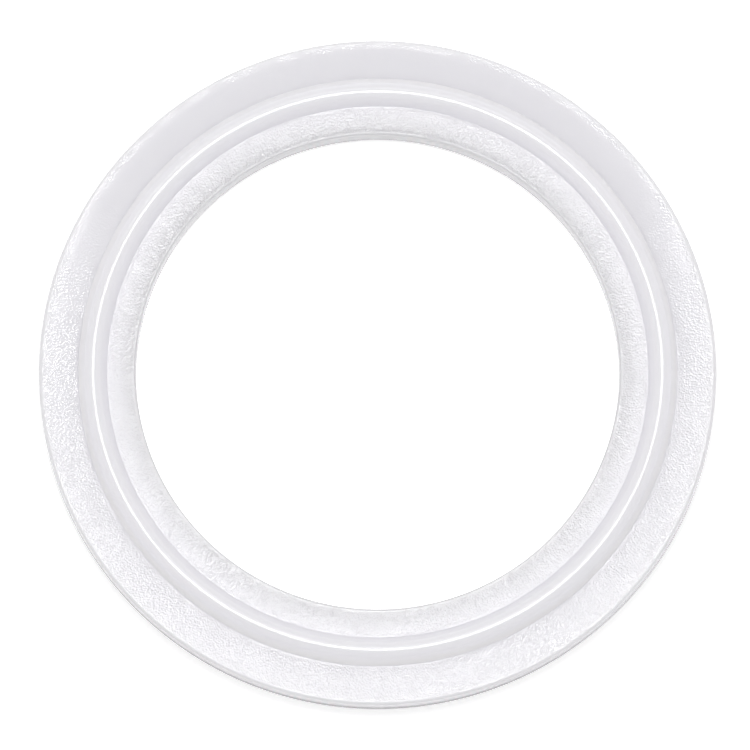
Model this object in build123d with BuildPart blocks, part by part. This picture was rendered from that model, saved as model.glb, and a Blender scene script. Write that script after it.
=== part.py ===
"""Sanitary clamp gasket for a 50.5 mm ferrule pair, moulded in one piece.

Origin at the ring's centre on its mid-plane, +Z along the ring's axis.
The same section is on both faces: a flat land beside the bore, the bead that
seats in the ferrule's groove, and a second land out to the rim.
"""
import os
from math import cos, radians, sin, tan

from build123d import *

# Driving dimensions, millimetres and degrees.
BORE_DIAMETER = 36.9
BEAD_CIRCLE_DIAMETER = 43.5  # the ferrules' groove circle
OUTER_DIAMETER = 51.7
WEB_THICKNESS = 2.05  # from land to land
BEAD_HEIGHT = 0.95  # above its land
BEAD_CROWN_RADIUS = 0.80
BEAD_FLANK_SLOPE = 55  # from the land, so that the bead leaves its mould
BORE_CHAMFER = 0.15
RIM_CHAMFER = 0.35

# Radii and heights worked out from them.
bore_r = BORE_DIAMETER / 2
bead_r = BEAD_CIRCLE_DIAMETER / 2
outer_r = OUTER_DIAMETER / 2
land_z = WEB_THICKNESS / 2
crest_z = land_z + BEAD_HEIGHT
slope = radians(BEAD_FLANK_SLOPE)

# Each flank is a straight line that meets the crown's arc without a corner.
crown_half = BEAD_CROWN_RADIUS * sin(slope)
crown_foot_z = crest_z - BEAD_CROWN_RADIUS * (1 - cos(slope))
bead_half = crown_half + (crown_foot_z - land_z) / tan(slope)

with BuildPart() as gasket_ring:
    with BuildSketch(Plane.XZ) as section:
        with BuildLine():
            bore_wall = Line((bore_r, 0), (bore_r, land_z))
            inner_land = Line(bore_wall @ 1, (bead_r - bead_half, land_z))
            inner_flank = Line(inner_land @ 1, (bead_r - crown_half, crown_foot_z))
            crown = ThreePointArc(
                inner_flank @ 1, (bead_r, crest_z), (bead_r + crown_half, crown_foot_z)
            )
            outer_flank = Line(crown @ 1, (bead_r + bead_half, land_z))
            outer_land = Line(outer_flank @ 1, (outer_r, land_z))
            rim = Line(outer_land @ 1, (outer_r, 0))
            Line(rim @ 1, bore_wall @ 0)
        make_face()
        bore_corner = section.vertices().sort_by_distance((bore_r, land_z))[0]
        chamfer(bore_corner, BORE_CHAMFER)
        rim_corner = section.vertices().sort_by_distance((outer_r, land_z))[0]
        chamfer(rim_corner, RIM_CHAMFER)
        mirror(about=Plane.XZ)
    revolve(axis=Axis.Z)

gasket_ring.part.label = "gasket_ring"

os.makedirs("parts", exist_ok=True)
export_step(gasket_ring.part, "parts/gasket_ring.step")
size = gasket_ring.part.bounding_box().size
print("size", size, "faces", len(gasket_ring.faces()), "bead half-width", round(bead_half, 3))
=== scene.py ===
"""Looks of the sanitary clamp gasket: one moulded ring of translucent silicone.

The ring is drawn as a section and spun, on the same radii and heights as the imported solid
that it stands for. Its edges are rounded where that solid has chamfers and corners. Lengths
are metres, and mm() turns millimetres into them.
"""

import math

import bpy
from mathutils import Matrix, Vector

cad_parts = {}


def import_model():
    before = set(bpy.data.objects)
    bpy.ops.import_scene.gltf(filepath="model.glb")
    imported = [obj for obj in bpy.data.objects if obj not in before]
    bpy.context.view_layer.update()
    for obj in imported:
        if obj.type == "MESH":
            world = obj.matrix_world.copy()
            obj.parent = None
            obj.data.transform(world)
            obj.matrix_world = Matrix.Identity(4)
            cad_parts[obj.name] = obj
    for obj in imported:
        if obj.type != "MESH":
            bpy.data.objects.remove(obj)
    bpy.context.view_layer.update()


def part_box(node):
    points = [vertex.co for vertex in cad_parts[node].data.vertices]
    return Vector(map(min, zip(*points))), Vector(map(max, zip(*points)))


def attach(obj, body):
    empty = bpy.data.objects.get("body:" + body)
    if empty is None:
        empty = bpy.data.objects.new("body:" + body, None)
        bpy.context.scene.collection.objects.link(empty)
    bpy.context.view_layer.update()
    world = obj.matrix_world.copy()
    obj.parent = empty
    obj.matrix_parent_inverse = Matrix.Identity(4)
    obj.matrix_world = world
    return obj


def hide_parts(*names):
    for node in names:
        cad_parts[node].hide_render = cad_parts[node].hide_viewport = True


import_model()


def mm(length):
    """Millimetres as the scene's metres."""
    return length * 0.001


# The ring's driving sizes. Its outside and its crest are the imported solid's.
NODE = "gasket_ring"
LOW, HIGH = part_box(NODE)
BORE_R = mm(36.9 / 2)
BEAD_R = mm(43.5 / 2)
OUTER_R = HIGH[0]
LAND_Z = mm(2.05 / 2)
CREST_Z = HIGH[2]
CROWN_R = mm(0.80)
FLANK_SLOPE = math.radians(55)

# The rounded edges, and how many straight steps each arc of the section has.
BORE_EDGE_R = mm(0.18)
FOOT_R = mm(0.12)
RIM_R = mm(0.25)
BORE_EDGE_STEPS = 6
FOOT_STEPS = 5
CROWN_STEPS = 28
RIM_STEPS = 12

# Each flank is straight from the crown's arc to the fillet at its foot.
CROWN_HALF = CROWN_R * math.sin(FLANK_SLOPE)
CROWN_FOOT_Z = CREST_Z - CROWN_R * (1 - math.cos(FLANK_SLOPE))
BEAD_HALF = CROWN_HALF + (CROWN_FOOT_Z - LAND_Z) / math.tan(FLANK_SLOPE)
FOOT_REACH = FOOT_R * math.tan(FLANK_SLOPE / 2)

# The radii between which each land is flat.
INNER_LAND_START = BORE_R + BORE_EDGE_R
INNER_LAND_END = BEAD_R - BEAD_HALF - FOOT_REACH
OUTER_LAND_START = BEAD_R + BEAD_HALF + FOOT_REACH
OUTER_LAND_END = OUTER_R - RIM_R

# The section is spun through one wedge, which is doubled until it goes all the way round.
DOUBLINGS = 4
STEPS_A_WEDGE = 40
WEDGE = 2 * math.pi / 2**DOUBLINGS
MERGE_DISTANCE = mm(0.002)


# ---- the ring ----------------------------------------------------------------

def start_section(radius, height):
    """A new mesh of one vertex, in edit mode, at this place in the XZ plane."""
    bpy.ops.object.select_all(action="DESELECT")
    bpy.ops.mesh.primitive_plane_add(size=mm(1), location=(radius, 0, height))
    bpy.ops.object.transform_apply(location=True)
    bpy.ops.object.mode_set(mode="EDIT")
    bpy.ops.mesh.merge(type="CENTER")
    return bpy.context.object


def pen_place():
    """Where the section's last vertex is."""
    mesh = bpy.context.object
    mesh.update_from_editmode()
    return [v.co.copy() for v in mesh.data.vertices if v.select][-1]


def line_to(radius, height):
    """Extrudes the last vertex straight to this place."""
    at = pen_place()
    move = (radius - at.x, 0, height - at.z)
    bpy.ops.mesh.extrude_region_move(TRANSFORM_OT_translate={"value": move})


def arc(centre_radius, centre_height, turn, steps):
    """Spins the last vertex about a centre. A positive turn goes outward over the top."""
    bpy.ops.mesh.spin(
        steps=steps, angle=-turn, center=(centre_radius, 0, centre_height), axis=(0, 1, 0)
    )


def draw_upper_half():
    """From the bore's wall over the lands and the bead to the rim, at y = 0."""
    quarter = math.pi / 2
    section = start_section(BORE_R, 0)
    line_to(BORE_R, LAND_Z - BORE_EDGE_R)
    arc(INNER_LAND_START, LAND_Z - BORE_EDGE_R, quarter, BORE_EDGE_STEPS)
    line_to(INNER_LAND_END, LAND_Z)
    arc(INNER_LAND_END, LAND_Z + FOOT_R, -FLANK_SLOPE, FOOT_STEPS)
    line_to(BEAD_R - CROWN_HALF, CROWN_FOOT_Z)
    arc(BEAD_R, CREST_Z - CROWN_R, 2 * FLANK_SLOPE, CROWN_STEPS)
    line_to(
        OUTER_LAND_START - FOOT_R * math.sin(FLANK_SLOPE),
        LAND_Z + FOOT_R * (1 - math.cos(FLANK_SLOPE)),
    )
    arc(OUTER_LAND_START, LAND_Z + FOOT_R, -FLANK_SLOPE, FOOT_STEPS)
    line_to(OUTER_LAND_END, LAND_Z)
    arc(OUTER_LAND_END, LAND_Z - RIM_R, quarter, RIM_STEPS)
    line_to(OUTER_R, 0)
    return section


def merge_all():
    """Joins the vertices that lie on each other."""
    bpy.ops.mesh.select_all(action="SELECT")
    bpy.ops.mesh.remove_doubles(threshold=MERGE_DISTANCE)


def mirror_below():
    """Adds the lower half of the section."""
    bpy.ops.mesh.select_all(action="SELECT")
    bpy.ops.mesh.duplicate()
    bpy.ops.transform.resize(value=(1, 1, -1), center_override=(0, 0, 0))
    merge_all()


def spin_round():
    """Spins the section through a wedge, and doubles what there is until the ring closes."""
    bpy.ops.mesh.spin(steps=STEPS_A_WEDGE, angle=WEDGE, center=(0, 0, 0), axis=(0, 0, 1))
    for doubling in range(DOUBLINGS):
        bpy.ops.mesh.select_all(action="SELECT")
        bpy.ops.mesh.duplicate()
        bpy.ops.transform.rotate(
            value=WEDGE * 2**doubling, orient_axis="Z", center_override=(0, 0, 0)
        )
    merge_all()


def moulded_ring():
    """The whole ring, with the same face above and below."""
    ring = draw_upper_half()
    ring.name = "moulded_ring"
    mirror_below()
    spin_round()
    bpy.ops.mesh.normals_make_consistent(inside=False)
    bpy.ops.object.mode_set(mode="OBJECT")
    bpy.ops.object.shade_smooth()
    return ring


# ---- shader building ---------------------------------------------------------

class Value:
    """A number in a shader. Sums and products of it add their own Math nodes."""

    def __init__(self, finish, socket):
        self.finish = finish
        self.socket = socket

    def __add__(self, other):
        return self.finish.maths("ADD", self, other)

    __radd__ = __add__

    def __mul__(self, other):
        return self.finish.maths("MULTIPLY", self, other)

    __rmul__ = __mul__

    def __sub__(self, other):
        return self.finish.maths("SUBTRACT", self, other)

    def __rsub__(self, other):
        return self.finish.maths("SUBTRACT", other, self)

    def __truediv__(self, other):
        return self.finish.maths("DIVIDE", self, other)

    def sin(self):
        return self.finish.maths("SINE", self)

    def cos(self):
        return self.finish.maths("COSINE", self)

    def root(self):
        return self.finish.maths("SQRT", self)

    def size(self):
        """The number without its sign."""
        return self.finish.maths("ABSOLUTE", self)

    def within(self, low, high):
        """The number, kept between low and high."""
        return self.finish.maths("MINIMUM", self.finish.maths("MAXIMUM", self, low), high)


class Finish:
    """A material made of nodes."""

    def __init__(self, name):
        self.material = bpy.data.materials.new(name)
        self.material.use_nodes = True
        self.tree = self.material.node_tree
        self.tree.nodes.clear()

    def node(self, kind, settings=None, sockets=None):
        """Adds a node: its settings first, then the values or links of its inputs."""
        made = self.tree.nodes.new(kind)
        for name, setting in (settings or {}).items():
            setattr(made, name, setting)
        for name, given in (sockets or {}).items():
            self.feed(made.inputs[name], given)
        return made

    def feed(self, socket, given):
        """Links a value or an output to a socket, or sets the socket to a constant."""
        if isinstance(given, Value):
            given = given.socket
        if isinstance(given, bpy.types.NodeSocket):
            self.tree.links.new(given, socket)
        else:
            socket.default_value = given

    def value(self, made, output=0):
        """One output of a node, as a number to work with."""
        return Value(self, made.outputs[output])

    def maths(self, operation, *numbers):
        """A Math node of these numbers."""
        made = self.node("ShaderNodeMath", {"operation": operation}, dict(enumerate(numbers)))
        return self.value(made)

    def step(self, number, start, end):
        """0 below start, 1 above end, and smooth between them."""
        made = self.node(
            "ShaderNodeMapRange",
            {"interpolation_type": "SMOOTHSTEP"},
            {"Value": number, "From Min": start, "From Max": end},
        )
        return self.value(made)

    def noise(self, vector, cells_a_metre, detail=0.0, roughness=0.5):
        """Smooth noise round 0.5."""
        made = self.node(
            "ShaderNodeTexNoise", None,
            {"Vector": vector, "Scale": cells_a_metre, "Detail": detail, "Roughness": roughness},
        )
        return self.value(made)

    def wrapped(self, angle, radius, across):
        """Places on a tube round Z, so that a pattern on them runs round without a seam."""
        made = self.node(
            "ShaderNodeCombineXYZ", None,
            {0: angle.cos() * radius, 1: angle.sin() * radius, 2: across},
        )
        return made.outputs[0]

    def mix(self, share, first, second):
        """Two colours mixed: share 0 is the first, 1 the second."""
        # Inputs 6 and 7 and output 2 are the ones for colours.
        colours = {"Factor": share, 6: first, 7: second}
        return self.node("ShaderNodeMix", {"data_type": "RGBA"}, colours).outputs[2]

    def surface(self, shader):
        """Makes this shader the material's surface."""
        out = self.node("ShaderNodeOutputMaterial")
        self.tree.links.new(shader.outputs[0], out.inputs["Surface"])


def blend(share, first, second):
    """Two numbers mixed: share 0 is the first, 1 the second."""
    return first + (second - first) * share


# ---- silicone ----------------------------------------------------------------

# The bump's unit of height. The marks and the dishes are this many units high, and the grain
# is added to the strokes at a share of their height.
RELIEF = mm(0.025)
MARK_HEIGHT = 1.6
DISH_HEIGHT = 1.2
GRAIN_SHARE = 0.8

# How fine the patterns are. The last two say how fast a pattern changes across the land,
# against along it.
STROKES_A_METRE = 6200
GRAINS_A_METRE = 7000
PATCHES_A_METRE = 600
DISHES_A_METRE = 260
STROKE_ACROSS = 0.40
DISH_ACROSS = 2.5

# One cutter made the marks: its leading edge shows in patches, and its trailing edge between.
CUTTER_R = mm(1.7)
PATCH_EDGE = (0.35, 0.65)

# The dishes' pattern runs round a circle of this radius.
DISH_CIRCLE_R = mm(22)

# How deep the marks are. On the far part of the outer land they are worn thin, and on the
# whole far side a border beside the rim and the bore keeps them deep.
INNER_DEPTH = 0.94
OUTER_NEAR_DEPTH = 1.00
OUTER_FAR_DEPTH = 0.08
BORDER_DEPTH = 1.2
RIM_BORDER = (mm(0.75), mm(0.50))
BORE_BORDER = (mm(0.35), mm(0.55))
FAR_SIDE = (mm(-6), mm(16))

# The marks fade in over this distance from a land's edges. Beside the bead they start this
# much inside its fillet.
MARK_FADE = mm(0.15)
FOOT_OVERLAP = mm(0.03)

# A soft ring lies unevenly, so the lands' shading curves away from the bead's foot. These are
# its rises, in metres for each square metre of distance from the foot.
INNER_NEAR_LIE = 14.0
INNER_FAR_LIE = -6.0
OUTER_LIE = 12.0

# The silicone's tone with painted light and shade in it: the lands are painted darker by the
# bore and lighter towards the bead, the bead's flanks lighter, and the foot of each wall dark.
LAND_PAINTED_DARKER = (0.625, 0.619, 0.640, 1)
LAND_PAINTED_LIGHTER = (0.790, 0.782, 0.810, 1)
# The bead's flanks are painted lighter, as painted light for the light that their slope loses.
INNER_FLANK_PAINTED_LIGHT = (0.865, 0.856, 0.891, 1)
OUTER_FLANK_PAINTED_LIGHT = (0.918, 0.907, 0.955, 1)
# Painted shade, dark at the foot of the bore's wall and of the outer wall.
WALL_PAINTED_SHADE = (0.22, 0.205, 0.235, 1)
SMOOTH_ROUGHNESS = 0.17
LAND_ROUGHNESS = 0.14

# Where the tones and the painted light and shade meet: distances from the bead's circle, from a
# wall, and below mid-height.
CREST_BLEND = mm(0.1)
FLANK_LIGHT_FULL = mm(0.98)
FLANK_LIGHT_FADE = (mm(1.05), mm(1.13))
WALL_SKIN = (mm(0.01), mm(0.05))
# Heights below mid-height over which the painted shade on each wall comes in.
OUTER_WALL_SHADE_SPAN = (mm(-0.45), mm(0.45))
BORE_WALL_SHADE_SPAN = (mm(0.40), mm(0.75))


class Place:
    """Where a point of the ring's surface is.

    outside is 1 outside the bead's crest, far is 1 on the +Y side, and in_patch is 1 where
    the cutter's leading edge shows. Each is 0 elsewhere, and smooth between.
    """

    def __init__(self, finish):
        self.coords = finish.node("ShaderNodeTexCoord").outputs["Object"]
        split = finish.node("ShaderNodeSeparateXYZ", None, {0: self.coords})
        x, y, z = (finish.value(split, axis) for axis in range(3))
        self.radius = (x * x + y * y).root()
        self.angle = finish.maths("ARCTAN2", y, x)
        self.below_middle = 0 - z
        self.from_bead = (self.radius - BEAD_R).size()
        self.outside = finish.step(self.radius, BEAD_R - CREST_BLEND, BEAD_R + CREST_BLEND)
        self.far = finish.step(y, *FAR_SIDE)
        patchy = finish.noise(self.coords, PATCHES_A_METRE, detail=1.0)
        self.in_patch = finish.step(patchy, *PATCH_EDGE)


def land_share(finish, place):
    """1 on the flat lands and 0 on the bead, the rim and the bore's edge."""
    foot = BEAD_HALF + FOOT_REACH
    off_bead = finish.step(place.from_bead, foot - FOOT_OVERLAP, foot + MARK_FADE)
    off_rim = finish.step(OUTER_R - place.radius, RIM_R / 2, RIM_R + MARK_FADE)
    off_bore = finish.step(place.radius - BORE_R, BORE_EDGE_R / 2, BORE_EDGE_R + MARK_FADE)
    return off_bead * off_rim * off_bore


def milled_strokes(finish, place, middle, lean):
    """Irregular strokes of a small cutter on a flat band round the ring.

    middle is the radius of the band's middle. lean is 1 for the strokes of the cutter's
    leading edge and -1 for those of its trailing edge.
    """
    across = place.radius - middle
    bulge = (CUTTER_R**2 - across * across).root()
    turned = place.angle + bulge * (lean / middle)
    along = finish.wrapped(turned, middle, across * STROKE_ACROSS)
    return finish.noise(along, STROKES_A_METRE, detail=1.0, roughness=0.6) - 0.5


def milled_band(finish, place, middle):
    """Strokes that lean one way in the patches and the other way between them."""
    leading = milled_strokes(finish, place, middle, 1)
    trailing = milled_strokes(finish, place, middle, -1)
    return blend(place.in_patch, trailing, leading)


def mill_marks(finish, place):
    """The marks of both lands, with a fine grain over them."""
    inner = milled_band(finish, place, (INNER_LAND_START + BEAD_R - BEAD_HALF) / 2)
    outer = milled_band(finish, place, (BEAD_R + BEAD_HALF + OUTER_LAND_END) / 2)
    grain = finish.noise(place.coords, GRAINS_A_METRE) - 0.5
    return blend(place.outside, inner, outer) + grain * GRAIN_SHARE


def mark_depth(finish, place):
    """How much of the marks is left."""
    by_rim = finish.step(place.radius, OUTER_R - RIM_BORDER[0], OUTER_R - RIM_BORDER[1])
    by_bore = 1 - finish.step(place.radius, BORE_R + BORE_BORDER[0], BORE_R + BORE_BORDER[1])
    border = by_rim * place.in_patch + by_bore
    outer_depth = blend(place.far, OUTER_NEAR_DEPTH, OUTER_FAR_DEPTH)
    return blend(place.outside, INNER_DEPTH, outer_depth) + border * place.far * BORDER_DEPTH


def dishes(finish, place):
    """Shallow dishes, drawn out round the ring."""
    ringwise = finish.wrapped(place.angle, DISH_CIRCLE_R, place.radius * DISH_ACROSS)
    return finish.noise(ringwise, DISHES_A_METRE) - 0.5


def lie_of_lands(place):
    """The lands' slow rise and fall, as a height in metres."""
    inner_way = INNER_LAND_END - place.radius.within(INNER_LAND_START, INNER_LAND_END)
    outer_way = place.radius.within(OUTER_LAND_START, OUTER_LAND_END) - OUTER_LAND_START
    inner_lie = blend(place.far, INNER_NEAR_LIE, INNER_FAR_LIE)
    return inner_way * inner_way * inner_lie + outer_way * outer_way * OUTER_LIE


def land_bump(finish, place, on_land):
    """The lands' normal, bumped by the marks, the dishes and the lie."""
    marks = mill_marks(finish, place) * mark_depth(finish, place) * MARK_HEIGHT
    texture = marks + dishes(finish, place) * DISH_HEIGHT
    relief = texture * on_land + lie_of_lands(place) / RELIEF
    bump = finish.node(
        "ShaderNodeBump", None, {"Height": relief, "Distance": RELIEF, "Strength": 1.0}
    )
    return bump.outputs[0]


def painted_wall_shade_share(finish, place):
    """Where the walls are painted dark as shade: 1 at the foot of the bore's wall and of the
    outer wall, and 0 on the faces.
    """
    close, clear = WALL_SKIN
    outer_wall = finish.step(place.radius, OUTER_R - clear, OUTER_R - close)
    bore_wall = 1 - finish.step(place.radius, BORE_R + close, BORE_R + clear)
    outer_shade = finish.step(place.below_middle, *OUTER_WALL_SHADE_SPAN)
    bore_shade = finish.step(place.below_middle, *BORE_WALL_SHADE_SPAN)
    return (outer_wall + bore_wall) * blend(place.outside, bore_shade, outer_shade)


def silicone_tone(finish, place):
    """The colour of the lands, the bead's flanks and the walls, with painted light and shade:
    lighter flanks and lands by the bead, darker lands by the bore and dark wall feet.
    """
    # Painted light and shade: the inner land is lighter towards the bead and darker by the bore.
    toward_bead = finish.step(place.radius, BORE_R, BEAD_R - BEAD_HALF)
    land = finish.mix(toward_bead, LAND_PAINTED_DARKER, LAND_PAINTED_LIGHTER)
    # Painted light on the bead's flanks, fading out at their feet.
    flank = finish.mix(place.outside, INNER_FLANK_PAINTED_LIGHT, OUTER_FLANK_PAINTED_LIGHT)
    off_crest = finish.step(place.from_bead, 0, FLANK_LIGHT_FULL)
    flank_light_share = off_crest * (1 - finish.step(place.from_bead, *FLANK_LIGHT_FADE))
    face = finish.mix(flank_light_share, land, flank)
    # Painted shade at the foot of the walls, over the rest.
    return finish.mix(painted_wall_shade_share(finish, place), face, WALL_PAINTED_SHADE)


def silicone():
    """Milky, translucent silicone, smooth on the bead and rim, with mill marks on the lands."""
    finish = Finish("milky_silicone")
    place = Place(finish)
    on_land = land_share(finish, place)
    shader = finish.node(
        "ShaderNodeBsdfPrincipled", {"subsurface_method": "RANDOM_WALK"},
        {
            "Base Color": silicone_tone(finish, place),
            "Roughness": blend(on_land, SMOOTH_ROUGHNESS, LAND_ROUGHNESS),
            "IOR": 1.65,
            "Subsurface Weight": 1.0,
            "Subsurface Radius": (1.0, 1.0, 1.0),
            "Subsurface Scale": mm(1.5),
            "Normal": land_bump(finish, place, on_land),
        },
    )
    finish.surface(shader)
    return finish.material


# ---- stage, light and camera -------------------------------------------------

FLOOR_SIZE = 4
FLOOR_GAP = mm(0.01)
FLOOR_WHITE = (0.9, 0.9, 0.9, 1)
FLOOR_GLOW = 0.53
SKY_STRENGTH = 0.58
WHITE = (1, 1, 1, 1)


def white_floor():
    """Matt white, with a glow that is seen but lights nothing."""
    finish = Finish("white_floor")
    rays = finish.node("ShaderNodeLightPath")
    kinds = ("Is Camera Ray", "Is Glossy Ray", "Is Transmission Ray")
    camera_ray, glossy_ray, transmission_ray = (finish.value(rays, kind) for kind in kinds)
    seen = camera_ray + glossy_ray + transmission_ray
    matt = finish.node("ShaderNodeBsdfDiffuse", None, {"Color": FLOOR_WHITE})
    glow = finish.node(
        "ShaderNodeEmission", None, {"Color": WHITE, "Strength": seen * FLOOR_GLOW}
    )
    both = finish.node("ShaderNodeAddShader", None, {0: matt.outputs[0], 1: glow.outputs[0]})
    finish.surface(both)
    return finish.material


def floor():
    """A plain floor that keeps the ring's shadow."""
    bpy.ops.object.select_all(action="DESELECT")
    bpy.ops.mesh.primitive_plane_add(size=FLOOR_SIZE, location=(0, 0, LOW[2] - FLOOR_GAP))
    plane = bpy.context.object
    plane.name = "floor"
    plane.data.materials.append(white_floor())


def world(strength):
    """Even white light from all round."""
    made = bpy.data.worlds.new("studio")
    made.use_nodes = True
    bpy.context.scene.world = made
    background = made.node_tree.nodes["Background"]
    background.inputs["Color"].default_value = WHITE
    background.inputs["Strength"].default_value = strength


def softbox(name, tilt_x, tilt_y, distance, size_x, size_y, radiance):
    """A rectangular lamp facing the ring, at these tilts in degrees from straight above.

    radiance is how bright the lamp's face is, whatever its size.
    """
    x = math.tan(math.radians(tilt_x))
    y = math.tan(math.radians(tilt_y))
    length = math.sqrt(x * x + y * y + 1)
    place = (distance * x / length, distance * y / length, distance / length)
    bpy.ops.object.select_all(action="DESELECT")
    bpy.ops.object.light_add(type="AREA", location=place)
    lamp = bpy.context.object
    lamp.name = name
    lamp.visible_camera = False
    lamp.data.shape = "RECTANGLE"
    lamp.data.size = size_x
    lamp.data.size_y = size_y
    lamp.data.energy = radiance * math.pi * size_x * size_y
    lamp.rotation_euler = Vector(place).to_track_quat("Z", "Y").to_euler()


def camera(tilt, distance, aim_x, aim_y, lens):
    """A long lens above the ring, tilted towards -Y by these degrees.

    aim_x and aim_y are the place that it looks at, at mid-height of the ring.
    """
    lean = math.radians(tilt)
    place = (aim_x, aim_y - distance * math.sin(lean), distance * math.cos(lean))
    bpy.ops.object.camera_add(location=place, rotation=(lean, 0, 0))
    made = bpy.context.object
    made.data.lens = lens
    made.data.sensor_width = 36
    made.data.clip_start = 0.01
    bpy.context.scene.camera = made


ring = moulded_ring()
ring.data.materials.append(silicone())
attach(ring, "root")
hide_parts(NODE)
floor()
world(SKY_STRENGTH)
softbox("overhead", tilt_x=0, tilt_y=3.4, distance=0.16, size_x=0.062, size_y=0.056, radiance=8)
softbox("window", tilt_x=-3, tilt_y=31, distance=0.60, size_x=0.50, size_y=0.08, radiance=3.2)
camera(tilt=11.2, distance=0.900, aim_x=mm(-0.199), aim_y=mm(-0.117), lens=565.7)
bpy.context.scene.view_settings.view_transform = "Standard"
